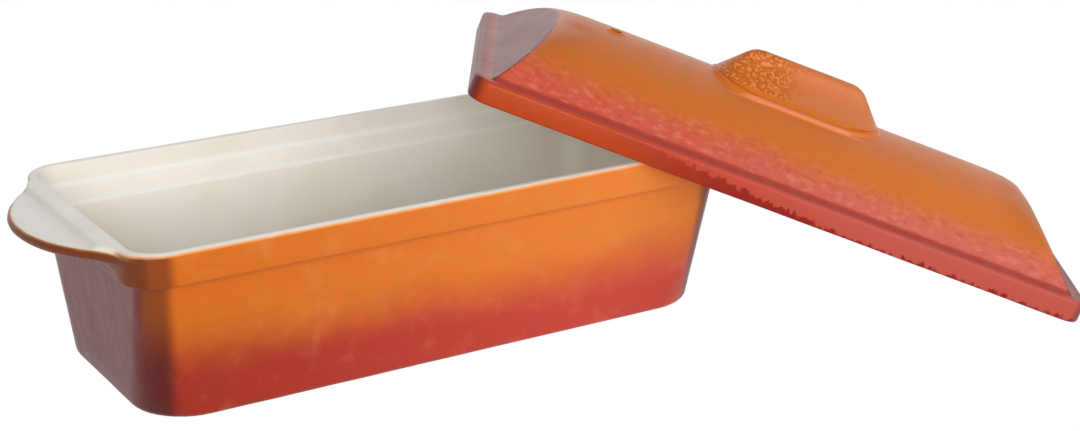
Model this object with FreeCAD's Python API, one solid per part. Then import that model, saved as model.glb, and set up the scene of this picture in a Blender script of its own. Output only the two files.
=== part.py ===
import FreeCAD, Part
import os
from math import asin, atan2, cos, degrees, hypot, radians, sin, sqrt, tan

# Oblong cast-iron terrine dish with a hipped lid that leans on its rim.
# Millimetres. The origin is the centre of the dish's underside, +X along the length, +Z up.

# Dish: rim band
rim_length = 280.0
rim_width = 130.0
rim_corner_radius = 16.0
dish_height = 75.0
band_height = 14.0
band_overhang = 5.5
rim_wall = 4.4
rim_edge_radius = 1.6
rim_inner_bevel = 0.9
band_edge_bevel = 1.0

# Dish: body below the band
end_taper = 9.0
side_taper = 11.5
base_corner_radius = 25.0
base_edge_bevel = 2.0
wall_thickness = 4.5
floor_thickness = 5.0
floor_corner_radius = 8.0

# Dish: the two steps inside the rim
upper_step_depth = 9.5
upper_step_width = 2.0
lower_step_depth = 7.0
lower_step_width = 0.8

# Dish: ogee lugs
lug_reach = 23.0
lug_root_set_back = 11.0
lug_hollow_radius = 25.0
lug_drop = 2.0
lug_root_thickness = 8.0
lug_tip_thickness = 4.6
lug_edge_bevel = 1.5
lug_ridge_width = 4.0
lug_ridge_bevel = 1.2
lug_root_bite = 0.5

# Lid: flange and skirt
lid_end_overhang = 1.0
lid_side_set_back = 1.0
lid_corner_radius = 9.0
flange_height = 10.5
flange_top_radius = 2.0
flange_bottom_bevel = 1.0
skirt_thickness = 5.5
skirt_edge_bevel = 1.0

# Lid: barrel roof with hipped ends
crown_height = 35.5
side_land = 5.0
end_land = 8.0
hip_angle = 48.0
hip_crown_radius = 14.0
shell_thickness = 4.5

# Lid: steam vent
vent_radius = 2.5
vent_lip_radius = 4.6
vent_lip_height = 1.0
vent_from_end = 55.0

# Lid: fin handle on its foot
foot_length = 82.0
foot_width = 42.0
foot_rise = 2.2
foot_edge_bevel = 1.0
fin_length = 78.0
fin_foot_width = 26.0
fin_foot_height = 1.0
fin_thickness = 7.8
fin_height = 16.0
fin_scoop = 2.1
fin_end_angle = 54.0
fin_corner_radius = 11.0
fin_edge_radius = 2.6

# Lid at rest: where it lies on the dish and the floor
lid_turn = -32.2
rim_crossing_from_end = 52.0
lid_crossing_from_end = 79.2
rest_clearance = 0.3
corner_share = 0.7

# Overlaps that let joined forms fuse or cut cleanly
embed = 2.0
past = 1.0


def point(x, y, z):
    return FreeCAD.Vector(x, y, z)


def line(start, end):
    return Part.LineSegment(start, end).toShape()


def arc(start, middle, end):
    return Part.Arc(start, middle, end).toShape()


def corner_arcs(half_x, half_y, radius, z):
    """The four corner arcs of a rounded rectangle at height z, in turn."""
    arcs = []
    for side_x, side_y, start in [(1, 1, 0), (-1, 1, 90), (-1, -1, 180), (1, -1, 270)]:
        centre = point(side_x * (half_x - radius), side_y * (half_y - radius), z)
        circle = Part.Circle(centre, point(0, 0, 1), radius)
        arcs.append(Part.Arc(circle, radians(start), radians(start + 90)).toShape())
    return arcs


def first_point(edge):
    return edge.valueAt(edge.FirstParameter)


def last_point(edge):
    return edge.valueAt(edge.LastParameter)


def rounded_outline(half_x, half_y, radius, z):
    """A rectangle with round corners, as a closed wire at height z."""
    arcs = corner_arcs(half_x, half_y, radius, z)
    edges = []
    for index, corner in enumerate(arcs):
        following = arcs[(index + 1) % len(arcs)]
        edges.append(corner)
        edges.append(line(last_point(corner), first_point(following)))
    return Part.Wire(edges)


def drafted_solid(lower, upper):
    """A solid with flat sides between two rounded rectangles, each given as half sizes, radius and height."""
    low_arcs = corner_arcs(*lower)
    high_arcs = corner_arcs(*upper)
    faces = [Part.Face(rounded_outline(*lower)), Part.Face(rounded_outline(*upper))]
    for index, low in enumerate(low_arcs):
        high = high_arcs[index]
        following = (index + 1) % len(low_arcs)
        next_low = first_point(low_arcs[following])
        next_high = first_point(high_arcs[following])
        faces.append(Part.makeRuledSurface(low, high))
        corners = [last_point(low), next_low, next_high, last_point(high), last_point(low)]
        faces.append(Part.Face(Part.makePolygon(corners)))
    shell = Part.Shell(faces)
    shell.sewShape()
    return Part.Solid(shell)


def stadium(length, width, z):
    """A slot outline with half-round ends, as a closed wire at height z."""
    radius = width / 2
    straight = length / 2 - radius
    return Part.Wire([
        line(point(-straight, -radius, z), point(straight, -radius, z)),
        arc(point(straight, -radius, z), point(length / 2, 0, z), point(straight, radius, z)),
        line(point(straight, radius, z), point(-straight, radius, z)),
        arc(point(-straight, radius, z), point(-length / 2, 0, z), point(-straight, -radius, z)),
    ])


def prism(wire, direction):
    return Part.Face(wire).extrude(direction)


def outline_distance(x, y, half_x, half_y, radius):
    """Signed distance from a point to a rounded rectangle about the origin, negative inside it."""
    beyond_x = abs(x) - (half_x - radius)
    beyond_y = abs(y) - (half_y - radius)
    outside = hypot(max(beyond_x, 0), max(beyond_y, 0))
    return outside + min(max(beyond_x, beyond_y), 0) - radius


def level_edges(shape, z):
    """Every edge that lies flat at height z."""
    near = 1e-4
    return [
        edge for edge in shape.Edges
        if abs(edge.BoundBox.ZMin - z) < near and abs(edge.BoundBox.ZMax - z) < near
    ]


def outline_edges(shape, z, half_x, half_y, radius):
    """The edges at height z that follow a rounded rectangle."""
    found = []
    for edge in level_edges(shape, z):
        middle = edge.valueAt((edge.FirstParameter + edge.LastParameter) / 2)
        if abs(outline_distance(middle.x, middle.y, half_x, half_y, radius)) < 0.01:
            found.append(edge)
    return found


def wall_outline(z, inset):
    """The drafted wall's outline at height z, moved inwards by inset: half sizes and corner radius."""
    band_bottom = dish_height - band_height
    share = z / band_bottom
    top_x = rim_length / 2 - band_overhang
    top_y = rim_width / 2 - band_overhang
    top_radius = rim_corner_radius - band_overhang
    base_x = rim_length / 2 - end_taper
    base_y = rim_width / 2 - side_taper
    half_x = base_x + (top_x - base_x) * share
    half_y = base_y + (top_y - base_y) * share
    radius = base_corner_radius + (top_radius - base_corner_radius) * share
    return half_x - inset, half_y - inset, radius - inset


def dish_wall():
    """The drafted outside of the pan, carried up into the band."""
    band_bottom = dish_height - band_height
    base = (*wall_outline(0, 0), 0)
    top = (*wall_outline(band_bottom, 0), band_bottom)
    neck = prism(rounded_outline(*top), point(0, 0, embed))
    body = drafted_solid(base, top).fuse(neck)
    return body.makeChamfer(base_edge_bevel, level_edges(body, 0))


def dish_band():
    """The heavy band round the rim."""
    band_bottom = dish_height - band_height
    outline = rounded_outline(rim_length / 2, rim_width / 2, rim_corner_radius, band_bottom)
    band = prism(outline, point(0, 0, band_height))
    band = band.makeChamfer(band_edge_bevel, level_edges(band, band_bottom))
    return band.makeFillet(rim_edge_radius, level_edges(band, dish_height))


def lug_arcs():
    """The right lug's arcs: the hollow arc's centre, then the tip arc's centre and radius.

    The hollow arc runs a little into the band, so it meets the band's face at a slight angle.
    The tip arc is centred on the lug's axis and touches both hollow arcs.
    """
    rim_end = rim_length / 2
    tip = rim_end + lug_reach
    hollow_x = rim_end - lug_root_bite + lug_hollow_radius
    root_half_width = rim_width / 2 - lug_root_set_back
    hollow_y = root_half_width + sqrt(lug_hollow_radius ** 2 - (lug_hollow_radius - lug_root_bite) ** 2)
    ahead = hollow_x - tip
    tip_radius = (hollow_y ** 2 + ahead ** 2 - lug_hollow_radius ** 2) / (2 * (lug_hollow_radius - ahead))
    return hollow_x, hollow_y, tip - tip_radius, tip_radius


def lug_distance(x, y, inset):
    """Signed distance from a point to the right lug's plan, drawn in by inset, negative inside it."""
    hollow_x, hollow_y, tip_centre, tip_radius = lug_arcs()
    beyond_root = abs(y) - hollow_y
    if atan2(abs(y), x - tip_centre) < atan2(hollow_y, hollow_x - tip_centre):
        from_arc = hypot(x - tip_centre, y) - tip_radius
    else:
        from_arc = lug_hollow_radius - hypot(x - hollow_x, beyond_root)
    return max(from_arc + inset, beyond_root)


def lug_plan(z):
    """Ogee outline of the right lug: a round tip that turns into a hollow at each root."""
    rim_end = rim_length / 2
    tip = rim_end + lug_reach
    bite = lug_root_bite
    hollow_x, hollow_y, tip_centre, tip_radius = lug_arcs()
    span = tip_radius + lug_hollow_radius
    joint_x = tip_centre + (hollow_x - tip_centre) * tip_radius / span
    joint_y = hollow_y * tip_radius / span
    turn = asin(hollow_y / span) / 2
    inside = rim_end - bite - embed
    edges = [arc(point(joint_x, -joint_y, z), point(tip, 0, z), point(joint_x, joint_y, z))]
    for side in (1, -1):
        joint = point(joint_x, side * joint_y, z)
        root = point(rim_end - bite, side * hollow_y, z)
        middle_x = hollow_x - lug_hollow_radius * cos(turn)
        middle = point(middle_x, side * (hollow_y - lug_hollow_radius * sin(turn)), z)
        edges.append(arc(joint, middle, root))
        edges.append(line(root, point(inside, side * hollow_y, z)))
    edges.append(line(point(inside, hollow_y, z), point(inside, -hollow_y, z)))
    return Part.Wire(Part.sortEdges(edges)[0])


def dish_lug():
    """The right lug: it thins towards its tip, with a ridge at rim level along its root."""
    rim_end = rim_length / 2
    tip = rim_end + lug_reach
    top = dish_height - lug_drop
    root_bottom = top - lug_root_thickness
    tip_bottom = top - lug_tip_thickness
    lug = prism(lug_plan(root_bottom), point(0, 0, lug_root_thickness))
    wedge = Part.makePolygon([
        point(rim_end, -rim_width, root_bottom),
        point(tip + past, -rim_width, tip_bottom + past * (tip_bottom - root_bottom) / lug_reach),
        point(tip + past, -rim_width, root_bottom - past),
        point(rim_end, -rim_width, root_bottom - past),
        point(rim_end, -rim_width, root_bottom),
    ])
    lug = lug.cut(prism(wedge, point(0, 2 * rim_width, 0)))
    outer = []
    for edge in lug.Edges:
        box = edge.BoundBox
        upright = box.ZLength > lug_tip_thickness * 0.8 and box.XLength < past
        if box.XMax > rim_end + past and not upright:
            outer.append(edge)
    lug = lug.makeChamfer(min(lug_edge_bevel, lug_tip_thickness * 0.33), outer)
    ridge_end = rim_end + lug_ridge_width
    ridge = Part.makeBox(ridge_end - rim_end + embed, rim_width, lug_drop + embed,
                         point(rim_end - embed, -rim_width / 2, top - embed))
    ridge = ridge.common(prism(lug_plan(top - embed), point(0, 0, lug_drop + embed)))
    outer_half = rim_end + lug_ridge_width / 2
    crest = [edge for edge in level_edges(ridge, dish_height) if edge.BoundBox.XMin > outer_half]
    ridge = ridge.makeChamfer(min(lug_ridge_bevel, lug_drop * 0.8), crest)
    return lug.fuse(ridge)


def dish_cavity():
    """The space inside: two steps below the rim, then the drafted walls and the rounded floor."""
    upper_x = rim_length / 2 - rim_wall
    upper_y = rim_width / 2 - rim_wall
    upper_radius = rim_corner_radius - rim_wall
    upper_bottom = dish_height - upper_step_depth
    lower_bottom = upper_bottom - lower_step_depth
    mouth = rounded_outline(upper_x, upper_y, upper_radius, upper_bottom)
    upper = prism(mouth, point(0, 0, upper_step_depth + past))
    wall_x, wall_y, wall_radius = wall_outline(lower_bottom, wall_thickness)
    lower_top = (upper_x - upper_step_width, upper_y - upper_step_width,
                 upper_radius - upper_step_width, upper_bottom)
    lower_end = (wall_x + lower_step_width, wall_y + lower_step_width,
                 wall_radius + lower_step_width, lower_bottom)
    lower = drafted_solid(lower_end, lower_top)
    well_top = (wall_x, wall_y, wall_radius, lower_bottom)
    well_floor = (*wall_outline(floor_thickness, wall_thickness), floor_thickness)
    cavity = upper.fuse([lower, drafted_solid(well_floor, well_top)])
    return cavity.makeFillet(floor_corner_radius, level_edges(cavity, floor_thickness))


def dish_shape():
    """The dish: one casting of pan, rim band and two lugs."""
    lug = dish_lug()
    other_lug = lug.rotated(point(0, 0, 0), point(0, 0, 1), 180)
    body = dish_wall().fuse([dish_band(), lug, other_lug])
    dish = body.cut(dish_cavity()).removeSplitter()
    inner = outline_edges(dish, dish_height, rim_length / 2 - rim_wall, rim_width / 2 - rim_wall,
                          rim_corner_radius - rim_wall)
    return dish.makeChamfer(min(rim_inner_bevel, rim_wall - rim_edge_radius), inner).Solids[0]


def lid_half_sizes():
    return rim_length / 2 + lid_end_overhang, rim_width / 2 - lid_side_set_back


def barrel_radius():
    half_width = rim_width / 2 - lid_side_set_back - side_land
    rise = crown_height - flange_height
    return (half_width ** 2 + rise ** 2) / (2 * rise)


def arch(inset, foot_z):
    """Cross-section of the barrel, drawn in by inset: upright feet and one arc, as a wire in the YZ plane."""
    radius = barrel_radius() - inset
    axis_z = crown_height - barrel_radius()
    spring_z = flange_height - inset
    half_width = sqrt(radius ** 2 - (spring_z - axis_z) ** 2)
    return Part.Wire([
        line(point(0, -half_width, foot_z), point(0, -half_width, spring_z)),
        arc(
            point(0, -half_width, spring_z),
            point(0, 0, crown_height - inset),
            point(0, half_width, spring_z),
        ),
        line(point(0, half_width, spring_z), point(0, half_width, foot_z)),
        line(point(0, half_width, foot_z), point(0, -half_width, foot_z)),
    ])


def hip_profile(inset, foot_z):
    """Side view of the barrel, drawn in by inset: each end slopes up and rounds into the crown."""
    angle = radians(hip_angle)
    radius = hip_crown_radius - inset
    crown_z = crown_height - inset
    spring_z = flange_height - inset
    outer_x = rim_length / 2 + lid_end_overhang - end_land
    spring_x = outer_x + inset / tan(angle) - inset / sin(angle)
    slope_rise = crown_z - spring_z - radius * (1 - cos(angle))
    knee_x = spring_x - slope_rise / tan(angle)
    knee_z = spring_z + slope_rise
    flat_x = knee_x - radius * sin(angle)
    middle_x = flat_x + radius * sin(angle / 2)
    middle_z = crown_z - radius * (1 - cos(angle / 2))
    edges = [line(point(-flat_x, 0, crown_z), point(flat_x, 0, crown_z))]
    edges.append(line(point(-spring_x, 0, foot_z), point(spring_x, 0, foot_z)))
    for side in (1, -1):
        flat = point(side * flat_x, 0, crown_z)
        knee = point(side * knee_x, 0, knee_z)
        spring = point(side * spring_x, 0, spring_z)
        foot = point(side * spring_x, 0, foot_z)
        edges.append(arc(flat, point(side * middle_x, 0, middle_z), knee))
        edges.append(line(knee, spring))
        edges.append(line(spring, foot))
    return Part.Wire(Part.sortEdges(edges)[0])


def hipped_barrel(inset, foot_z):
    """A barrel roof cut by its two hipped ends, with every face drawn in by inset."""
    barrel = prism(arch(inset, foot_z), point(rim_length, 0, 0))
    barrel.translate(point(-rim_length / 2, 0, 0))
    hips = prism(hip_profile(inset, foot_z), point(0, rim_width, 0))
    hips.translate(point(0, -rim_width / 2, 0))
    return barrel.common(hips)


def lid_roof():
    """The flange slab and the barrel roof that stands on it inside a flat land."""
    half_x, half_y = lid_half_sizes()
    slab = prism(rounded_outline(half_x, half_y, lid_corner_radius, 0), point(0, 0, flange_height))
    slab = slab.makeChamfer(flange_bottom_bevel, level_edges(slab, 0))
    slab = slab.makeFillet(flange_top_radius, level_edges(slab, flange_height))
    return slab.fuse(hipped_barrel(0, flange_height - embed))


def lid_foot():
    """The handle's foot: a thin round-ended pad that follows the barrel."""
    radius = barrel_radius() + foot_rise
    axis_z = crown_height - barrel_radius()
    bottom = crown_height - shell_thickness
    pad = prism(stadium(foot_length, foot_width, bottom), point(0, 0, shell_thickness + foot_rise + past))
    dome = Part.makeCylinder(radius, foot_length, point(-foot_length / 2, 0, axis_z), point(1, 0, 0))
    pad = pad.common(dome)
    rim = []
    for edge in pad.Edges:
        middle = edge.valueAt((edge.FirstParameter + edge.LastParameter) / 2)
        on_top = abs(hypot(middle.y, middle.z - axis_z) - radius) < 0.01
        if on_top:
            rim.append(edge)
    return pad.makeChamfer(foot_edge_bevel, rim)


def fin_section():
    """Cross-section of the fin in the YZ plane: scooped sides that rise from the foot to a thin top."""
    root_z = crown_height - shell_thickness
    foot_z = crown_height + fin_foot_height
    top_z = crown_height + fin_height
    shoulder_z = top_z - fin_thickness / 2
    outer = fin_foot_width / 2
    inner = fin_thickness / 2
    chord = hypot(outer - inner, shoulder_z - foot_z)
    scoop_y = (outer + inner) / 2 - fin_scoop * (shoulder_z - foot_z) / chord
    scoop_z = (foot_z + shoulder_z) / 2 - fin_scoop * (outer - inner) / chord
    edges = [line(point(0, -outer, root_z), point(0, outer, root_z))]
    edges.append(line(point(0, -inner, top_z), point(0, inner, top_z)))
    for side in (1, -1):
        foot = point(0, side * outer, foot_z)
        shoulder = point(0, side * inner, shoulder_z)
        edges.append(line(point(0, side * outer, root_z), foot))
        edges.append(arc(foot, point(0, side * scoop_y, scoop_z), shoulder))
        edges.append(line(shoulder, point(0, side * inner, top_z)))
    return Part.Wire(Part.sortEdges(edges)[0])


def fin_profile():
    """Side view of the fin as a slab across the lid: sloping ends, rounded into a level top."""
    root_z = crown_height - shell_thickness
    top_z = crown_height + fin_height
    slope = tan(radians(fin_end_angle))
    root_x = fin_length / 2 + (fin_foot_height + shell_thickness) / slope
    top_x = fin_length / 2 - (fin_height - fin_foot_height) / slope
    side_y = -fin_foot_width / 2 - past
    outline = Part.makePolygon([
        point(-root_x, side_y, root_z),
        point(root_x, side_y, root_z),
        point(top_x, side_y, top_z),
        point(-top_x, side_y, top_z),
        point(-root_x, side_y, root_z),
    ])
    slab = prism(outline, point(0, fin_foot_width + 2 * past, 0))
    corners = [edge for edge in level_edges(slab, top_z) if edge.BoundBox.YLength > fin_foot_width]
    return slab.makeFillet(fin_corner_radius, corners)


def lid_fin():
    """The grip: an upright fin, scooped on both sides, with sloping ends and softened edges."""
    root_z = crown_height - shell_thickness
    grip = prism(fin_section(), point(foot_length, 0, 0))
    grip.translate(point(-foot_length / 2, 0, 0))
    plan_rise = shell_thickness + fin_height + past
    plan = prism(stadium(fin_length, fin_foot_width, root_z), point(0, 0, plan_rise))
    fin = grip.common(fin_profile()).common(plan)
    crest = []
    for edge in fin.Edges:
        middle_z = edge.valueAt((edge.FirstParameter + edge.LastParameter) / 2).z
        box = edge.BoundBox
        across = box.XLength + box.ZLength < 0.01
        shoulder = box.XLength > fin_length / 2 and middle_z < crown_height + fin_height - past
        if middle_z > crown_height + foot_rise and not across and not shoulder:
            crest.append(edge)
    return fin.makeFillet(fin_edge_radius, crest)


def lid_cavity():
    """The hollow under the lid: a shallow recess inside the skirt, then the roof's own form."""
    half_x, half_y = lid_half_sizes()
    recess_height = flange_height - shell_thickness
    plan = rounded_outline(half_x - skirt_thickness, half_y - skirt_thickness,
                           lid_corner_radius - skirt_edge_bevel, -past)
    recess = prism(plan, point(0, 0, recess_height + past))
    return recess.fuse(hipped_barrel(shell_thickness, recess_height - past))


def lid_vent():
    """The steam vent: a raised lip, and the hole to cut through it."""
    bottom = crown_height - shell_thickness
    lip_top = crown_height + vent_lip_height
    centre = point(vent_from_end - lid_half_sizes()[0], 0, bottom)
    lip = Part.makeCylinder(vent_lip_radius, lip_top - bottom, centre)
    lip = lip.makeChamfer(vent_lip_height * 0.8, level_edges(lip, lip_top))
    hole = Part.makeCylinder(vent_radius, lip_top - bottom + 2 * past, centre - point(0, 0, past))
    return lip, hole


def lid_shape():
    """The lid: one casting of flange, roof and handle, upright with its flange's underside at z = 0."""
    half_x, half_y = lid_half_sizes()
    lip, hole = lid_vent()
    body = lid_roof().fuse([lid_foot(), lid_fin(), lip])
    lid = body.cut(lid_cavity()).cut(hole).removeSplitter()
    inner = outline_edges(lid, 0, half_x - skirt_thickness, half_y - skirt_thickness,
                          lid_corner_radius - skirt_edge_bevel)
    return lid.makeChamfer(skirt_edge_bevel, inner).Solids[0]


def lid_rest():
    """Where the lid comes to rest: turn, lean and roll in degrees, and its centre.

    Its front skirt lies on the front rim, its back skirt on the ridge or the lug at the
    rim's right end, and its low end on the floor. Each touching line runs along an inner
    lower edge of the skirt, a little inside its bevel.
    """
    half_x, half_y = lid_half_sizes()
    contact_y = half_y - skirt_thickness + corner_share * skirt_edge_bevel
    rim_inset = corner_share * rim_edge_radius
    rim_half_x = rim_length / 2 - rim_inset
    rim_half_y = rim_width / 2 - rim_inset
    rim_radius = rim_corner_radius - rim_inset
    lid_crossing = lid_crossing_from_end - half_x
    front = point(rim_length / 2 - rim_crossing_from_end, -rim_half_y, dish_height + rest_clearance)
    turn = radians(lid_turn)
    lean = asin(min(0.9, dish_height / (half_x - lid_crossing)))

    def back_point(roll, drop):
        along = (2 * contact_y * sin(roll) + drop / cos(lean)) / sin(lean) * cos(lean)
        across = 2 * contact_y * cos(roll)
        sideways = 2 * contact_y * sin(roll) * sin(lean)
        x = front.x + (along + sideways) * cos(turn) - across * sin(turn)
        y = front.y + (along + sideways) * sin(turn) + across * cos(turn)
        return x, y

    def back_distance(roll):
        x, y = back_point(roll, 0)
        from_rim = outline_distance(x, y, rim_half_x, rim_half_y, rim_radius)
        ridge_inset = corner_share * lug_ridge_bevel
        from_ridge = max(x - rim_length / 2 - lug_ridge_width + ridge_inset, lug_distance(x, y, 0))
        lug_x, lug_y = back_point(roll, lug_drop)
        from_lug = lug_distance(lug_x, lug_y, corner_share * lug_edge_bevel)
        return min(from_rim, from_ridge, from_lug)

    def lowest(angle, roll):
        fall_x = -sin(angle)
        fall_y = cos(angle) * sin(roll)
        heights = []
        for side in (1, -1):
            from_front_x = half_x - lid_corner_radius - lid_crossing
            from_front_y = side * (half_y - lid_corner_radius) + contact_y
            corner = front.z + fall_x * from_front_x + fall_y * from_front_y
            inner_ring = (lid_corner_radius - flange_bottom_bevel) * hypot(fall_x, fall_y)
            bevel_rise = flange_bottom_bevel * cos(angle) * cos(roll)
            outer_ring = lid_corner_radius * hypot(fall_x, fall_y) - bevel_rise
            heights.append(corner - max(inner_ring, outer_ring))
        return min(heights)

    def halve(test, low, high):
        for step in range(60):
            middle = (low + high) / 2
            if test(middle):
                low = middle
            else:
                high = middle
        return (low + high) / 2

    roll_limit = 0.25
    roll_step = 0.01
    for turnabout in range(30):
        roll = roll_limit
        while roll > -roll_limit and back_distance(roll - roll_step) > 0:
            roll -= roll_step
        roll = halve(lambda angle: back_distance(angle) < 0, roll - roll_step, roll)
        lean = halve(lambda angle: lowest(angle, roll) > 0, 0.05, 1.2)
    rotation = FreeCAD.Rotation(lid_turn, degrees(lean), degrees(roll))
    centre = front - rotation.multVec(point(lid_crossing, -contact_y, 0))
    return rotation, centre


def leaning_lid():
    rotation, centre = lid_rest()
    lid = lid_shape()
    lid.Placement = FreeCAD.Placement(centre, rotation)
    return lid


os.makedirs("parts", exist_ok=True)
dish_shape().exportStep("parts/dish.step")
leaning_lid().exportStep("parts/lid.step")
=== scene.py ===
from math import cos, pi, radians, sin, sqrt, tan

import bmesh
import bpy
from mathutils import Euler, Matrix, Vector


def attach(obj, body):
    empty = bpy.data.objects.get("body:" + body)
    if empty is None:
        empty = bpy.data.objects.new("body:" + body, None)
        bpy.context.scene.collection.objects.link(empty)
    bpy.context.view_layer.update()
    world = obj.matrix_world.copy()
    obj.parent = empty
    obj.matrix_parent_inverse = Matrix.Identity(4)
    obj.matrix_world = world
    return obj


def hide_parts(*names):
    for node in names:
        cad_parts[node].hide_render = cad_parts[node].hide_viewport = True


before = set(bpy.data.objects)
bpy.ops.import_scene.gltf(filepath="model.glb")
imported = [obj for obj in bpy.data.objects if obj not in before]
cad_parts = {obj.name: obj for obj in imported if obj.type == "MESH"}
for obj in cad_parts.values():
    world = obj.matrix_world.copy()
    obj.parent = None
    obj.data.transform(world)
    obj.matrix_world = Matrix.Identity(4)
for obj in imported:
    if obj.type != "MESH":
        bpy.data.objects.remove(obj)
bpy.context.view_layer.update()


# Dish
# A long pan cast in iron in one piece, with drafted walls, a heavy band round the rim and an
# ogee lug at each end. It is enamelled all over: orange fading to red outside, cream inside.

rim_length = 0.280
rim_width = 0.130
rim_corner = 0.016
dish_height = 0.075
band_bottom = 0.061
band_overhang = 0.0055
rim_wall = 0.0044
end_taper = 0.009
side_taper = 0.0115
base_corner = 0.025
wall_thickness = 0.0045
floor_thickness = 0.005
upper_step_bottom = 0.0655
lower_step_bottom = 0.0585
lug_reach = 0.023
lug_root_half_width = 0.064
lug_hollow = 0.040
lug_top = 0.073
lug_root_bottom = 0.065
lug_tip_bottom = 0.0684
lug_edge = (0.0002, 0.0045)
lug_side = (0.047, 0.061)
arc_steps = 5
wave_depth = 0.0004
wave_scale = 32.0


def blend_between(low, high, share):
    return low + (high - low) * share


def smooth_step(value, low, high):
    share = min(max((value - low) / (high - low), 0.0), 1.0)
    return share * share * (3 - 2 * share)


def rounded_profile(corners, arc_steps, longest_run):
    """Points along a profile of (inset, height, radius) corners, with arcs at the corners."""
    points = []
    for index, (inset, height, radius) in enumerate(corners):
        here = Vector((inset, height))
        if radius == 0:
            points.append(here)
            continue
        before = (Vector(corners[index - 1][:2]) - here).normalized()
        after = (Vector(corners[index + 1][:2]) - here).normalized()
        half_turn = before.angle(after) / 2
        centre = here + (before + after).normalized() * (radius / sin(half_turn))
        first_spoke = here + before * (radius / tan(half_turn)) - centre
        last_spoke = here + after * (radius / tan(half_turn)) - centre
        for step in range(arc_steps + 1):
            points.append(centre + radius * first_spoke.slerp(last_spoke, step / arc_steps))
    filled = [points[0]]
    for point in points[1:]:
        gap = (point - filled[-1]).length
        pieces = max(1, round(gap / longest_run))
        start = filled[-1]
        for piece in range(pieces):
            filled.append(start.lerp(point, (piece + 1) / pieces))
    return filled


def rounded_ring(half_x, half_y, corner, height):
    """A closed ring round a rectangle with round corners, anticlockwise from its right side."""
    side_steps = 64
    end_steps = 48
    corner_steps = 10
    straight_x = half_x - corner
    straight_y = half_y - corner
    ring = []
    for quarter, steps in enumerate((end_steps, side_steps, end_steps, side_steps)):
        turn = Matrix.Rotation(quarter * pi / 2, 2)
        along = straight_y if quarter % 2 == 0 else straight_x
        out = half_x if quarter % 2 == 0 else half_y
        centre = Vector((out - corner, along))
        for step in range(steps):
            ring.append(turn @ Vector((out, blend_between(-along, along, step / steps))))
        for step in range(corner_steps):
            angle = pi / 2 * step / corner_steps
            ring.append(turn @ (centre + corner * Vector((cos(angle), sin(angle)))))
    return [Vector((place.x, place.y, height)) for place in ring]


def pan_ring(inset, height):
    """The ring at one profile point: the drafted wall's outline, moved inwards by the inset."""
    share = min(height / band_bottom, 1.0)
    half_x = rim_length / 2 - blend_between(end_taper, band_overhang, share)
    half_y = rim_width / 2 - blend_between(side_taper, band_overhang, share)
    sharpest = 0.0005
    corner = blend_between(base_corner, rim_corner - band_overhang, share)
    return rounded_ring(half_x - inset, half_y - inset, max(corner - inset, sharpest), height)


def lug_outline(across):
    """How far out a lug's edge lies at a distance across from its axis."""
    sunk = 0.0005
    tip = rim_length / 2 + lug_reach
    hollow_x = rim_length / 2 + lug_hollow - sunk
    hollow_y = lug_root_half_width
    ahead = hollow_x - tip
    tip_radius = (hollow_y ** 2 + ahead ** 2 - lug_hollow ** 2) / (2 * (lug_hollow - ahead))
    tip_centre = tip - tip_radius
    joint_y = hollow_y * tip_radius / (tip_radius + lug_hollow)
    across = abs(across)
    if across < joint_y:
        return tip_centre + sqrt(tip_radius ** 2 - across ** 2)
    if across < hollow_y:
        return hollow_x - sqrt(lug_hollow ** 2 - (hollow_y - across) ** 2)
    return 0.0


def lug_section(reach):
    """A lug's section as (distance out, height), from under its root round the tip to the rim."""
    tip_round = 0.0024
    inner = max(reach - tip_round, 0.0)
    middle = (lug_tip_bottom + lug_top) / 2
    half_height = (lug_top - lug_tip_bottom) / 2
    section = []
    for share in (0.0, 0.35, 0.7):
        section.append((inner * share, blend_between(lug_root_bottom, lug_tip_bottom, share)))
    for degrees in (-90, -60, -30, 0, 30, 60, 90):
        angle = radians(degrees)
        out = inner + min(tip_round, reach) * cos(angle)
        section.append((out, middle + half_height * sin(angle)))
    ridge_foot = 0.0058
    for share, height in ((0.5, 0.07303), (0.0, 0.07312)):
        section.append((min(inner, blend_between(ridge_foot, inner, share)), height))
    ridge = ((0.0051, 0.0735), (0.0046, 0.0743), (0.0040, 0.0748), (0.0031, 0.0750))
    for out, height in ridge + ((0.0016, dish_height),):
        section.append((min(out, inner), height))
    return section


def lug_rings():
    """Rings up the band's face and over its edge, pushed out to form the two lugs at the ends.

    Each ring comes with its share of cream lining. The lining covers the top of each lug.
    """
    rim_round = 0.0016
    lining_start = 7.3
    lining_end = 9.7
    face_heights = (0.0650, 0.0659, 0.0668, 0.0677, 0.0684, 0.0691, 0.0698,
                    0.0705, 0.0712, 0.0719, 0.0726, 0.0730)
    beside = [(0.0, height, 0.0) for height in face_heights]
    for degrees, lining in ((0, 0.1), (22.5, 0.3), (45, 0.5), (67.5, 0.8), (90, 1.0)):
        angle = radians(degrees)
        height = dish_height - rim_round * (1 - sin(angle))
        beside.append((rim_round * (1 - cos(angle)), height, lining))
    face = pan_ring(-band_overhang, dish_height)
    rings = []
    shares = []
    for step, (inset, height, lining) in enumerate(beside):
        ring = pan_ring(inset - band_overhang, height)
        share = []
        for index, place in enumerate(ring):
            face_x = abs(face[index].x)
            face_y = abs(face[index].y)
            reach = lug_outline(face_y) - face_x
            weight = smooth_step(reach, *lug_edge) * (1 - smooth_step(face_y, *lug_side))
            if weight > 0:
                out, lug_height = lug_section(reach)[step]
                side = 1 if place.x > 0 else -1
                place.x = blend_between(place.x, side * (face_x + out), weight)
                place.z = blend_between(height, lug_height, weight)
            lug_lining = smooth_step(step, lining_start, lining_end)
            share.append(blend_between(lining, lug_lining, weight))
        rings.append(ring)
        shares.append(share)
    return rings, shares


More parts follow.
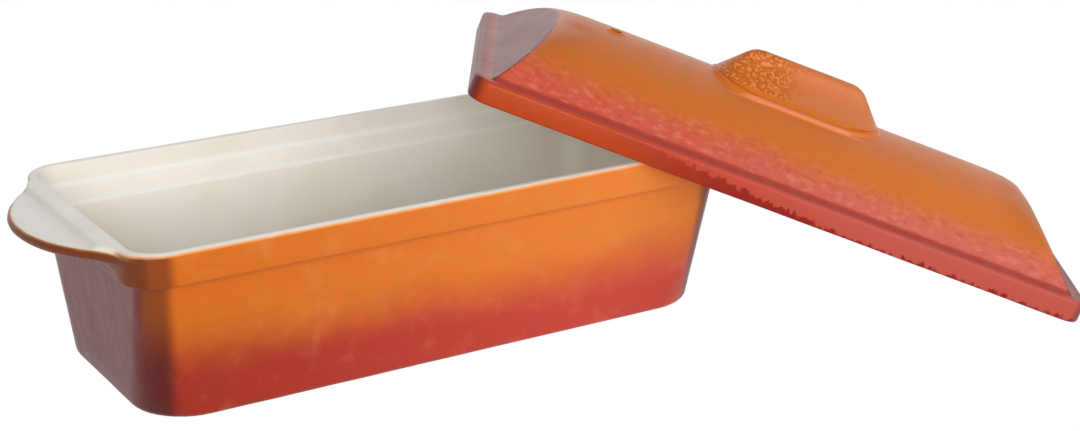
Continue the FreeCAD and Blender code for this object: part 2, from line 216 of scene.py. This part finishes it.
def lofted_mesh(name, rings, shares):
    """A closed mesh through rings of equal length.

    Its 'lining' attribute holds the given share of each ring, or of each point of a ring.
    """
    count = len(rings[0])
    points = [place for ring in rings for place in ring]
    faces = [list(range(count))]
    for level in range(len(rings) - 1):
        low = level * count
        high = low + count
        for index in range(count):
            following = (index + 1) % count
            faces.append([low + index, high + index, high + following, low + following])
    top = (len(rings) - 1) * count
    faces.append([top + index for index in reversed(range(count))])
    mesh = bpy.data.meshes.new(name)
    mesh.from_pydata(points, [], faces)
    lining = mesh.attributes.new("lining", "FLOAT", "POINT")
    for level, share in enumerate(shares):
        for index in range(count):
            own_share = share if isinstance(share, float) else share[index]
            lining.data[level * count + index].value = own_share
    work = bmesh.new()
    work.from_mesh(mesh)
    bmesh.ops.recalc_face_normals(work, faces=work.faces)
    work.to_mesh(mesh)
    work.free()
    mesh.shade_smooth()
    return mesh


def dish_rings():
    """Every ring of the dish, from under its foot, up the outside and down to the floor inside."""
    longest_run = 0.006
    rim_face = rim_wall - band_overhang
    outside = [
        (0.030, 0.0, 0),
        (0.012, 0.0, 0),
        (0.0, 0.0, 0.0028),
        (0.0, band_bottom, 0.0007),
        (-band_overhang, band_bottom, 0.0013),
        (-band_overhang, 0.0642, 0),
    ]
    inside = [
        (-band_overhang + 0.0026, dish_height, 0),
        (rim_face, dish_height, 0.0011),
        (rim_face, upper_step_bottom + 0.0009, 0.0010),
        (rim_face + 0.0021, upper_step_bottom - 0.0007, 0.0012),
        (wall_thickness - 0.0011, lower_step_bottom + 0.0008, 0.0006),
        (wall_thickness, lower_step_bottom - 0.0006, 0.0010),
        (wall_thickness, floor_thickness, 0.008),
        (0.026, floor_thickness, 0),
        (0.044, floor_thickness, 0),
    ]
    rings = [pan_ring(*place) for place in rounded_profile(outside, arc_steps, longest_run)]
    shares = [0.0] * len(rings)
    band, band_shares = lug_rings()
    inner = [pan_ring(*place) for place in rounded_profile(inside, arc_steps, longest_run)]
    return rings + band + inner, shares + band_shares + [1.0] * len(inner)


class Shade:
    """A socket that can be used in sums. Numbers and other sockets add Math nodes."""

    def __init__(self, tree, socket):
        self.tree = tree
        self.socket = socket

    def node(self, kind, settings=(), values=(), output=0):
        """Adds a node, sets it up, then fills its sockets with numbers or links."""
        node = self.tree.nodes.new(kind)
        for name, value in dict(settings).items():
            if name == "stops":
                ramp = node.color_ramp
                while len(ramp.elements) < len(value):
                    ramp.elements.new(0.5)
                for stop, (place, colour) in zip(ramp.elements, value):
                    stop.position = place
                    stop.color = colour
            else:
                setattr(node, name, value)
        for name, value in dict(values).items():
            target = node.inputs[name]
            if isinstance(value, Shade):
                self.tree.links.new(value.socket, target)
            else:
                target.default_value = value
        return Shade(self.tree, node.outputs[output] if len(node.outputs) else None)

    def math(self, operation, *others, clamp=False):
        values = {0: self}
        values.update({index + 1: other for index, other in enumerate(others)})
        return self.node("ShaderNodeMath", {"operation": operation, "use_clamp": clamp}, values)

    def __add__(self, other):
        return self.math("ADD", other)

    __radd__ = __add__

    def __mul__(self, other):
        return self.math("MULTIPLY", other)

    __rmul__ = __mul__

    def __sub__(self, other):
        return self.math("SUBTRACT", other)

    def __rsub__(self, other):
        return self.node("ShaderNodeMath", {"operation": "SUBTRACT"}, {0: other, 1: self})

    def __truediv__(self, other):
        return self.math("DIVIDE", other)

    def fade(self, low, high):
        """0 below low, 1 above high, soft between."""
        settings = {"interpolation_type": "SMOOTHSTEP"}
        values = {"Value": self, "From Min": low, "From Max": high}
        if low > high:
            values.update({"From Min": high, "From Max": low, "To Min": 1.0, "To Max": 0.0})
        return self.node("ShaderNodeMapRange", settings, values)

    def tint(self, other, share):
        """This colour mixed towards another by a share."""
        values = {6: self, 7: other, 0: share}
        return self.node("ShaderNodeMix", {"data_type": "RGBA"}, values, 2)

    def between(self, first, second):
        """The first colour where this is 0 and the second where it is 1."""
        values = {6: first, 7: second, 0: self}
        return self.node("ShaderNodeMix", {"data_type": "RGBA"}, values, 2)

    def split(self):
        """This vector's x, y and z."""
        parts = self.node("ShaderNodeSeparateXYZ", {}, {"Vector": self})
        return [Shade(self.tree, part) for part in parts.socket.node.outputs]

    def noise(self, scale, detail, roughness=0.5, stretch=None):
        """Even noise over this vector, about 0 to 1."""
        place = self
        if stretch:
            settings = {"operation": "MULTIPLY"}
            place = self.node("ShaderNodeVectorMath", settings, {0: self, 1: stretch})
        values = {"Vector": place, "Scale": scale, "Detail": detail, "Roughness": roughness}
        return self.node("ShaderNodeTexNoise", {}, values, "Fac")


def colour(red, green, blue):
    """A paint colour as it is seen, 0 to 255, as the linear values that a shader takes."""
    def linear(value):
        value = value / 255
        return value / 12.92 if value <= 0.04045 else ((value + 0.055) / 1.055) ** 2.4
    return (linear(red), linear(green), linear(blue), 1.0)


def new_material(name):
    material = bpy.data.materials.new(name)
    material.use_nodes = True
    tree = material.node_tree
    tree.nodes.clear()
    seed = Shade(tree, None)
    return material, seed


def finish_enamel(material, seed, paint, lining, place, ledge_highlight=0.0, extra_skin=0.0):
    """Cream lining over coloured enamel, with the orange-peel skin of thick vitreous enamel."""
    mottle = place.noise(30, 2, 0.5)
    cream = mottle.fade(0.30, 0.80).between(colour(243, 237, 226), colour(237, 229, 215))
    # Painted highlight: the cream is paler along the given ledge lines.
    cream = cream.tint(colour(252, 250, 245), ledge_highlight)
    # Painted highlight: a pale orange band along the cream's edge, partly the soft join of the two
    # enamels.
    edge = lining + (place.noise(120, 2) - 0.5) * 0.20
    edge_highlight = edge.fade(0.02, 0.45)
    paint = paint.tint(colour(248, 178, 112), edge_highlight * 0.8)
    paint = paint.tint(cream, edge.fade(0.35, 0.75))
    peel = place.noise(330, 2, 0.55) * 0.6 + place.noise(900, 2, 0.5) * 0.2
    peel = peel + place.noise(90, 2) * 1.3
    hammered = place.noise(380, 2, 0.5) * extra_skin
    bump_values = {"Strength": 0.4, "Distance": 0.0006, "Height": peel + hammered}
    bump = seed.node("ShaderNodeBump", {}, bump_values)
    shader = seed.node("ShaderNodeBsdfPrincipled", {}, {
        "Base Color": paint,
        "Roughness": 0.36 + (place.noise(60, 2) - 0.5) * 0.12,
        "Normal": bump,
        "IOR": 1.34,
    })
    seed.node("ShaderNodeOutputMaterial", {}, {"Surface": shader})
    return material


def dish_enamel():
    """Orange at the rim and red towards the foot, with a soft uneven join between the two.

    The corners are darker and the ends maroon: partly a thinner coat, partly painted shade.
    """
    material, seed = new_material("dish_enamel")
    place = seed.node("ShaderNodeTexCoord", {}, {}, "Object")
    x, _, z = place.split()
    cloud = place.noise(22, 3, 0.55) - 0.5
    speck = place.noise(420, 3, 0.7)
    level = z + cloud * 0.022 + (place.noise(120, 3) - 0.5) * 0.005
    # Painted shade: both colours are darker towards the left end and lighter towards the right.
    orange = x.fade(-0.15, 0.13).between(colour(204, 102, 12), colour(229, 127, 46))
    red = x.fade(-0.14, 0.10).between(colour(158, 38, 20), colour(197, 68, 54))
    paint = red.tint(orange, level.fade(0.014, 0.046))
    paint = paint.tint(colour(140, 45, 10), speck.fade(0.62, 0.8) * 0.25)
    # Painted highlight: small pale glints scattered over the outside.
    glint = place.noise(75, 3, 0.6).fade(0.50, 0.80)
    paint = paint.tint(colour(240, 150, 96), glint * 0.16)
    # Corners and ends are darkened here, partly as the enamel's own thinner coat and partly as
    # painted shade and dim reflection.
    wall_slope = (end_taper - band_overhang) / band_bottom
    base_end = rim_length / 2 - end_taper
    reach = x.math("ABSOLUTE") - z * wall_slope + cloud * 0.002
    thin_coat_and_shade = level.fade(0.020, 0.052).between(colour(80, 4, 0), colour(128, 54, 0))
    paint = paint.tint(thin_coat_and_shade, reach.fade(base_end - 0.014, base_end - 0.008) * 0.9)
    end_coat_and_shade = z.fade(0.0605, 0.0630).between(colour(108, 10, 14), colour(112, 48, 0))
    paint = paint.tint(end_coat_and_shade, reach.fade(base_end - 0.003, base_end - 0.0005) * 0.9)
    lining = seed.node("ShaderNodeAttribute", {"attribute_name": "lining"}, {}, "Fac")
    # Painted highlight: a paler line along each ledge's rounded edge, where it catches the light.
    upper_ledge = z.fade(0.0644, 0.0652) * z.fade(0.0668, 0.0660)
    lower_ledge = z.fade(0.0575, 0.0582) * z.fade(0.0596, 0.0589)
    ledge_highlight = (upper_ledge + lower_ledge) * 0.6
    return finish_enamel(material, seed, paint, lining, place, ledge_highlight)


def evaluated_mesh(piece):
    """A new mesh of a piece as its modifiers leave it."""
    bpy.context.view_layer.update()
    graph = bpy.context.evaluated_depsgraph_get()
    return bpy.data.meshes.new_from_object(piece.evaluated_get(graph))


def glaze_waves(piece, material):
    """Gives a casting the slow waves of poured iron under glaze, then makes it a plain mesh.

    The waves only go inwards.
    """
    tree = bpy.data.node_groups.new(piece.name + "_waves", "GeometryNodeTree")
    tree.interface.new_socket("Geometry", in_out="INPUT", socket_type="NodeSocketGeometry")
    depth_input = tree.interface.new_socket("Depth", in_out="INPUT", socket_type="NodeSocketFloat")
    scale_input = tree.interface.new_socket("Scale", in_out="INPUT", socket_type="NodeSocketFloat")
    tree.interface.new_socket("Geometry", in_out="OUTPUT", socket_type="NodeSocketGeometry")
    inputs = tree.nodes.new("NodeGroupInput")
    result = tree.nodes.new("NodeGroupOutput")
    noise = tree.nodes.new("ShaderNodeTexNoise")
    noise.inputs["Detail"].default_value = 2.0
    inwards = tree.nodes.new("ShaderNodeMath")
    inwards.operation = "SUBTRACT"
    inwards.inputs[1].default_value = 1.0
    amount = tree.nodes.new("ShaderNodeMath")
    amount.operation = "MULTIPLY"
    normal = tree.nodes.new("GeometryNodeInputNormal")
    offset = tree.nodes.new("ShaderNodeVectorMath")
    offset.operation = "SCALE"
    move = tree.nodes.new("GeometryNodeSetPosition")
    realize = tree.nodes.new("GeometryNodeRealizeInstances")
    paint = tree.nodes.new("GeometryNodeSetMaterial")
    paint.inputs["Material"].default_value = material
    for start, end in (
        (inputs.outputs["Geometry"], move.inputs["Geometry"]),
        (inputs.outputs["Scale"], noise.inputs["Scale"]),
        (noise.outputs["Fac"], inwards.inputs[0]),
        (inwards.outputs[0], amount.inputs[0]),
        (inputs.outputs["Depth"], amount.inputs[1]),
        (normal.outputs["Normal"], offset.inputs[0]),
        (amount.outputs[0], offset.inputs["Scale"]),
        (offset.outputs["Vector"], move.inputs["Offset"]),
        (move.outputs["Geometry"], realize.inputs["Geometry"]),
        (realize.outputs["Geometry"], paint.inputs["Geometry"]),
        (paint.outputs["Geometry"], result.inputs["Geometry"]),
    ):
        tree.links.new(start, end)
    waves = piece.modifiers.new("waves", "NODES")
    waves.node_group = tree
    waves[depth_input.identifier] = wave_depth
    waves[scale_input.identifier] = wave_scale
    made = evaluated_mesh(piece)
    piece.modifiers.clear()
    piece.data = made


def new_piece(name, mesh):
    piece = bpy.data.objects.new(name, mesh)
    bpy.context.scene.collection.objects.link(piece)
    return piece


dish = new_piece("dish_casting", lofted_mesh("dish_casting", *dish_rings()))
glaze_waves(dish, dish_enamel())
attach(dish, "root")
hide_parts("dish")


# Lid
# One iron casting: a flange, a barrel roof with a sloping hip at each end, a fin handle that
# stands on a thin foot, and a steam vent. It leans on the rim with its low end on the table.

lid_half_length = 0.141
lid_half_width = 0.064
lid_corner = 0.009
flange_height = 0.0105
skirt_thickness = 0.0055
crown_height = 0.0355
side_land = 0.005
end_land = 0.008
hip_slope = radians(48)
hip_round = 0.014
shell = 0.0045
vent_x = -0.086
vent_radius = 0.0025
vent_lip = 0.0046
sharp_corner = 0.0012

lid_turn = radians(-32.2)
lid_lean = radians(21.0806)
lid_roll = radians(-1.4575)
lid_centre = Vector((0.167873, -0.044241, 0.051667))
lid_tilt = Euler((lid_roll, lid_lean, lid_turn))
lid_place = Matrix.Translation(lid_centre) @ lid_tilt.to_matrix().to_4x4()

barrel_half = lid_half_width - side_land
barrel_rise = crown_height - flange_height
barrel_round = (barrel_half ** 2 + barrel_rise ** 2) / (2 * barrel_rise)
barrel_axis = crown_height - barrel_round


def barrel_height(across, inset=0.0):
    """The roof's height at a distance across from the lid's middle line."""
    return barrel_axis + sqrt((barrel_round - inset) ** 2 - across ** 2)


def hip_reach(height, inset):
    """How far out the sloping end lies at a height."""
    radius = hip_round - inset
    crown = crown_height - inset
    spring = flange_height - inset
    spring_x = lid_half_length - end_land + inset / tan(hip_slope) - inset / sin(hip_slope)
    slope_rise = crown - spring - radius * (1 - cos(hip_slope))
    knee_x = spring_x - slope_rise / tan(hip_slope)
    if height < spring + slope_rise:
        return spring_x - (height - spring) / tan(hip_slope)
    below = min(max(height - (crown - radius), 0.0), radius)
    return knee_x - radius * sin(hip_slope) + sqrt(radius ** 2 - below ** 2)


def roof_ring(share, inset):
    """One contour of the roof. Its corners follow the hips, sharp low down, rounder higher up."""
    spring_half = sqrt((barrel_round - inset) ** 2 - (flange_height - inset - barrel_axis) ** 2)
    across = spring_half * share
    height = barrel_height(across, inset)
    corner = sharp_corner + 0.030 * (1 - share) ** 2
    return rounded_ring(hip_reach(height, inset), across, min(corner, across * 0.98), height)


def flange_ring(inset, height):
    corner = max(lid_corner - inset, sharp_corner)
    return rounded_ring(lid_half_length - inset, lid_half_width - inset, corner, height)


def lid_rings():
    """Every ring of the lid, from the crown outside, round the flange, to the crown inside."""
    shares = [0.02, 0.06] + [0.06 + 0.04 * step for step in range(1, 23)] + [0.965]
    outside = [roof_ring(share, 0.0) for share in shares]
    foot_x = lid_half_length - end_land
    for out_x, out_y, corner, rise in ((0.0001, 0.0001, 0.0016, 0.00055),
                                       (0.0008, 0.0007, 0.0022, 0.0001),
                                       (0.0020, 0.0016, 0.0030, 0.0)):
        half_y = barrel_half + out_y
        outside.append(rounded_ring(foot_x + out_x, half_y, corner, flange_height + rise))
    turned = [
        (0.0034, flange_height, 0),
        (0.0, flange_height, 0.0020),
        (0.0, 0.0, 0.0013),
        (skirt_thickness, 0.0, 0.0013),
        (skirt_thickness, flange_height - shell, 0.0010),
        (skirt_thickness + 0.0022, flange_height - shell, 0),
    ]
    flange = [flange_ring(*place) for place in rounded_profile(turned, arc_steps, 0.003)]
    inside = [roof_ring(share, shell) for share in reversed(shares)]
    rings = outside + flange + inside
    painted = len(outside) + 14
    lining = [0.0] * painted + [1.0] * (len(rings) - painted)
    return rings, lining


def boat_ring(half_length, half_width, squareness):
    """A flat outline with round ends. The squarer it is, the straighter its sides."""
    steps = 60
    ring = []
    for side in (1, -1):
        for step in range(steps):
            along = side * cos(pi * step / steps)
            across = side * half_width * sqrt(1 - abs(along) ** squareness)
            ring.append(Vector((half_length * along, across)))
    return ring


def handle_rings():
    """The handle: a thin round-edged foot that follows the roof, then a fin with scooped sides."""
    foot_half_length = 0.0405
    foot_half_width = 0.0205
    foot_rise = 0.0016
    foot_squareness = 3.8
    top_squareness = 12.0
    rings = []
    foot_edge = ((0.0004, -0.0030), (0.0012, -0.0006), (0.0008, 0.0), (0.0003, 0.0002),
                 (0.0, 0.0006), (-0.0001, 0.0010), (-0.0004, 0.0014), (-0.0009, 0.0016),
                 (-0.0015, 0.00165), (-0.0022, 0.0016))
    for grown, rise in foot_edge:
        ring = []
        for place in boat_ring(foot_half_length + grown, foot_half_width + grown, foot_squareness):
            ring.append(Vector((place.x, place.y, barrel_height(place.y) + rise)))
        rings.append(ring)
    fin_height = 0.0160
    fin_half_length = 0.0392
    fin_half_foot = 0.0170
    fin_half_top = 0.0032
    fin_scoop = 2.3
    end_angle = radians(50)
    end_slope = tan(end_angle)
    corner_round = 0.011
    top_x = fin_half_length - fin_height / end_slope
    flat_x = top_x - corner_round * tan(end_angle / 2)
    corner_start = fin_height - corner_round * (1 - cos(end_angle))
    for height in (0.0, 0.0003, 0.0010, 0.0020, 0.0032, 0.0046, 0.0062, 0.0078, 0.0094,
                   0.0108, 0.0120, 0.0130, 0.0139, 0.0147, 0.0153, 0.01575, 0.01596):
        share = height / fin_height
        half_length = fin_half_length - height / end_slope
        if height > corner_start:
            above_centre = height - fin_height + corner_round
            half_length = flat_x + sqrt(corner_round ** 2 - above_centre ** 2)
        half_width = blend_between(fin_half_top, fin_half_foot, (1 - share) ** fin_scoop)
        below_top = max(height - (fin_height - fin_half_top), 0.0)
        half_width *= sqrt(1 - (below_top / fin_half_top) ** 2)
        squareness = blend_between(foot_squareness, top_squareness, sqrt(share))
        ring = []
        for place in boat_ring(half_length, max(half_width, 0.0003), squareness):
            foot = barrel_height(place.y) + foot_rise
            level = blend_between(foot, crown_height + fin_height, share)
            ring.append(Vector((place.x, place.y, level)))
        rings.append(ring)
    return rings


def vent_rings():
    """The vent's raised lip round the hole."""
    steps = 40
    lip_section = ((vent_lip + 0.0002, -0.0020), (vent_lip + 0.0006, -0.0003),
                   (vent_lip + 0.0002, 0.0001), (vent_lip - 0.0004, 0.0004),
                   (vent_lip - 0.0010, 0.0006), (vent_lip - 0.0016, 0.0006),
                   (vent_radius + 0.0002, 0.0003))
    rings = []
    for radius, rise in lip_section:
        ring = []
        for step in range(steps):
            angle = 2 * pi * step / steps
            y = radius * sin(angle)
            ring.append(Vector((vent_x + radius * cos(angle), y, barrel_height(y) + rise)))
        rings.append(ring)
    return rings


def lid_enamel():
    """Orange on the roof and pink-red towards the flange, the pink partly a painted sheen.
    The flange has a ragged darker hem, partly painted shade.

    The sloping ends are maroon, partly painted shade and dim reflection.
    The grip's left half is speckled with painted glints, its right half a painted reflection.
    """
    material, seed = new_material("lid_enamel")
    world = seed.node("ShaderNodeTexCoord", {}, {}, "Object")
    place = seed.node("ShaderNodeMapping", {"vector_type": "TEXTURE"}, {
        "Vector": world,
        "Location": lid_centre,
        "Rotation": Vector((lid_roll, lid_lean, lid_turn)),
    })
    x, y, z = place.split()
    cloud = place.noise(24, 3, 0.55) - 0.5
    fine = place.noise(150, 3, 0.6) - 0.5
    # Painted light: the roof is a touch lighter towards the right, and the pink towards the flange
    # is partly redder enamel and partly a painted pinkish sheen.
    orange = x.fade(-0.12, 0.10).between(colour(206, 106, 16), colour(216, 112, 24))
    pink = x.fade(-0.10, 0.08).between(colour(204, 84, 60), colour(208, 100, 84))
    level = z + cloud * 0.008 + fine * 0.003
    paint = pink.tint(orange, level.fade(0.014, 0.026))
    # Painted shade and highlight: dark and pale flecks on the lower slope, for the light on
    # dimples.
    low_slope = level.fade(0.026, 0.018)
    dimple_shade_and_glint = place.noise(380, 3, 0.6, (0.6, 1.0, 1.0))
    paint = paint.tint(colour(152, 44, 26), dimple_shade_and_glint.fade(0.54, 0.72) * low_slope * 0.35)
    paint = paint.tint(colour(236, 140, 112), dimple_shade_and_glint.fade(0.50, 0.32) * low_slope * 0.35)
    # Painted shade: a darker red line in the crease where the roof meets the flange's top.
    land = z.fade(0.0098, 0.0104) * z.fade(0.0125, 0.0112)
    paint = paint.tint(colour(158, 40, 26), land * 0.8)
    # Painted reflection: the flange is deeper red-orange at the left and pinker at the right.
    flange = x.fade(-0.08, 0.06).between(colour(188, 58, 26), colour(192, 80, 66))
    paint = paint.tint(flange, z.fade(0.0104, 0.0100))
    # A ragged darker hem along the flange's foot: partly the enamel's own darker edge and partly
    # painted shade.
    shaded_hem = x.fade(-0.10, -0.01).between(colour(186, 64, 0), colour(146, 20, 2))
    ragged = (place.noise(420, 3, 0.6, (1.0, 1.0, 0.6)) - 0.5) * 0.009 * x.fade(-0.10, -0.03)
    hem_top = 0.0120 - (x + 0.105) * 0.080
    hem_top = hem_top.math("MAXIMUM", 0.0014)
    below = (hem_top + ragged - z).fade(-0.0004, 0.0006)
    paint = paint.tint(shaded_hem, below * z.fade(0.0100, 0.0092))
    handle = z.fade(crown_height + 0.0006, crown_height + 0.0018)
    # Painted reflection: the grip is deep orange on its left half and lighter pinkish on its
    # right.
    smooth_sheen_half = (x + fine * 0.02).fade(-0.014, 0.004)
    paint = paint.tint(smooth_sheen_half.between(colour(194, 94, 0), colour(206, 116, 62)), handle)
    hammered = handle * (1 - smooth_sheen_half)
    # Painted highlight: pale speckled glints over the grip's hammered left half.
    pit_glint = place.noise(640, 2, 0.5)
    paint = paint.tint(colour(236, 148, 90), hammered * pit_glint.fade(0.48, 0.64) * 0.70)
    across = y.math("ABSOLUTE")
    along = x.math("ABSOLUTE")
    # Painted highlight: a pale line along the edge of the grip's foot.
    foot_edge = across.fade(0.0180, 0.0192) * across.fade(0.0208, 0.0202)
    foot_edge = foot_edge * along.fade(0.036, 0.028)
    paint = paint.tint(colour(236, 146, 104), foot_edge * 0.55)
    # The sloping ends and end faces are painted maroon: partly the enamel's own darker colour and
    # partly painted shade and dim reflection.
    above_hip = (lid_half_length - end_land - along) * tan(hip_slope) + flange_height - z
    end = above_hip.fade(0.0016, 0.0002) * z.fade(0.0100, 0.0108)
    towards_end = (along + cloud * 0.006).fade(0.088, 0.122) * z.fade(0.018, 0.036)
    end = end.math("MAXIMUM", towards_end * 0.35)
    end = end.math("MAXIMUM", along.fade(0.1345, 0.1390))
    paint = paint.tint(colour(108, 14, 16), end * 0.9)
    lining = seed.node("ShaderNodeAttribute", {"attribute_name": "lining"}, {}, "Fac")
    return finish_enamel(material, seed, paint, lining, place, extra_skin=hammered * 3.0)


def vent_hole():
    """The rings of the vent hole's cutter."""
    steps = 32
    rings = []
    for height in (0.026, 0.033, 0.041):
        ring = []
        for step in range(steps):
            angle = 2 * pi * step / steps
            x = vent_x + vent_radius * cos(angle)
            ring.append(Vector((x, vent_radius * sin(angle), height)))
        rings.append(ring)
    return rings


def plain_mesh(name, rings):
    """A closed mesh without any lining."""
    return lofted_mesh(name, rings, [0.0] * len(rings))


union_body = new_piece("union_body", lofted_mesh("lid_casting", *lid_rings()))
spares = [union_body]
for name, rings, operation in (("lid_grip", handle_rings(), "UNION"),
                               ("lid_vent_lip", vent_rings(), "UNION"),
                               ("vent_hole", vent_hole(), "DIFFERENCE")):
    spare = new_piece(name, plain_mesh(name, rings))
    joint = union_body.modifiers.new(name, "BOOLEAN")
    joint.operation = operation
    joint.solver = "EXACT"
    joint.object = spare
    spares.append(spare)
lid_mesh = evaluated_mesh(union_body)
for spare in spares:
    bpy.data.objects.remove(spare)
lid_mesh.transform(lid_place)
lid_mesh.shade_smooth()
lid_mesh.set_sharp_from_angle(angle=radians(38))
lid = new_piece("lid_casting", lid_mesh)
glaze_waves(lid, lid_enamel())
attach(lid, "root")
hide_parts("lid")


# Floor
# The plain pale sweep that the dish stands on. The camera sees it as white.



def seen_white(seed):
    """1 for the rays that see the sweep and the sky as white, 0 for those that light the dish."""
    rays = seed.node("ShaderNodeLightPath").socket.node.outputs
    seen = Shade(seed.tree, rays["Is Camera Ray"])
    for kind in ("Is Glossy Ray", "Is Transmission Ray"):
        seen = seen.math("MAXIMUM", Shade(seed.tree, rays[kind]))
    return seen


floor_half = 4.0
floor_mesh = bpy.data.meshes.new("floor")
floor_signs = ((-1, -1), (1, -1), (1, 1), (-1, 1))
floor_corners = [(x * floor_half, y * floor_half, 0) for x, y in floor_signs]
floor_mesh.from_pydata(floor_corners, [], [(0, 1, 2, 3)])
floor = new_piece("floor", floor_mesh)
floor_material, floor_seed = new_material("floor")
seen = seen_white(floor_seed)
matt = floor_seed.node("ShaderNodeBsdfDiffuse", {}, {"Color": colour(225, 224, 222)})
white = floor_seed.node("ShaderNodeEmission", {}, {"Color": (1.0, 1.0, 1.0, 1.0), "Strength": 1.0})
mixed = floor_seed.node("ShaderNodeMixShader", {}, {0: seen, 1: matt, 2: white})
floor_seed.node("ShaderNodeOutputMaterial", {}, {"Surface": mixed})
floor_mesh.materials.append(floor_material)


# Light
# Broad soft lamps and a dim even sky, at a level where the enamel's colours render as written.

world = bpy.data.worlds.new("studio")
world.use_nodes = True
bpy.context.scene.world = world
world.node_tree.nodes.clear()
sky_seed = Shade(world.node_tree, None)
sky_seen = seen_white(sky_seed)
dim_values = {"Color": (0.80, 0.84, 0.90, 1.0), "Strength": 0.40}
white_values = {"Color": (1.0, 1.0, 1.0, 1.0), "Strength": 1.0}
dim = sky_seed.node("ShaderNodeBackground", {}, dim_values)
bright = sky_seed.node("ShaderNodeBackground", {}, white_values)
sky = sky_seed.node("ShaderNodeMixShader", {}, {0: sky_seen, 1: dim, 2: bright})
sky_seed.node("ShaderNodeOutputWorld", {}, {"Surface": sky})


def soft_lamp(name, place, target, size, power):
    """A rectangular lamp of a given width and height, turned towards a target."""
    light = bpy.data.lights.new(name, "AREA")
    light.shape = "RECTANGLE"
    light.size = size[0]
    light.size_y = size[1]
    light.energy = power
    lamp = bpy.data.objects.new(name, light)
    lamp.location = place
    lamp.rotation_euler = (Vector(target) - Vector(place)).to_track_quat("-Z", "Y").to_euler()
    bpy.context.scene.collection.objects.link(lamp)


soft_lamp("beside_camera", (-0.80, -1.25, 0.50), (0.0, 0.0, 0.04), (1.0, 0.7), 10.5)
middle = (0.05, 0.0, 0.05)
soft_lamp("front", (-0.25, -1.60, 0.75), middle, (1.4, 0.9), 5.0)
soft_lamp("front_right", (0.90, -1.35, 0.60), middle, (1.3, 0.8), 7.5)
soft_lamp("behind", (0.60, 1.50, 0.80), middle, (1.4, 0.9), 3.5)


# Camera
# Placed and framed as the photograph was taken, a little above the dish and to its left.

picture_width = 1080
focal_pixels = 2180
sensor = 36.0
view_turn = radians(31.32)
view_fall = radians(19.50)
view_target = Vector((0.06746, -0.01501, 0.040))
view_distance = 0.960

camera_data = bpy.data.cameras.new("camera")
camera_data.sensor_width = sensor
camera_data.lens = sensor * focal_pixels / picture_width
camera = bpy.data.objects.new("camera", camera_data)
level_share = cos(view_fall)
ahead = Vector((sin(view_turn) * level_share, cos(view_turn) * level_share, -sin(view_fall)))
camera.location = view_target - ahead * view_distance
camera.rotation_euler = ahead.to_track_quat("-Z", "Y").to_euler()
bpy.context.scene.collection.objects.link(camera)
bpy.context.scene.camera = camera
bpy.context.scene.view_settings.view_transform = "Standard"
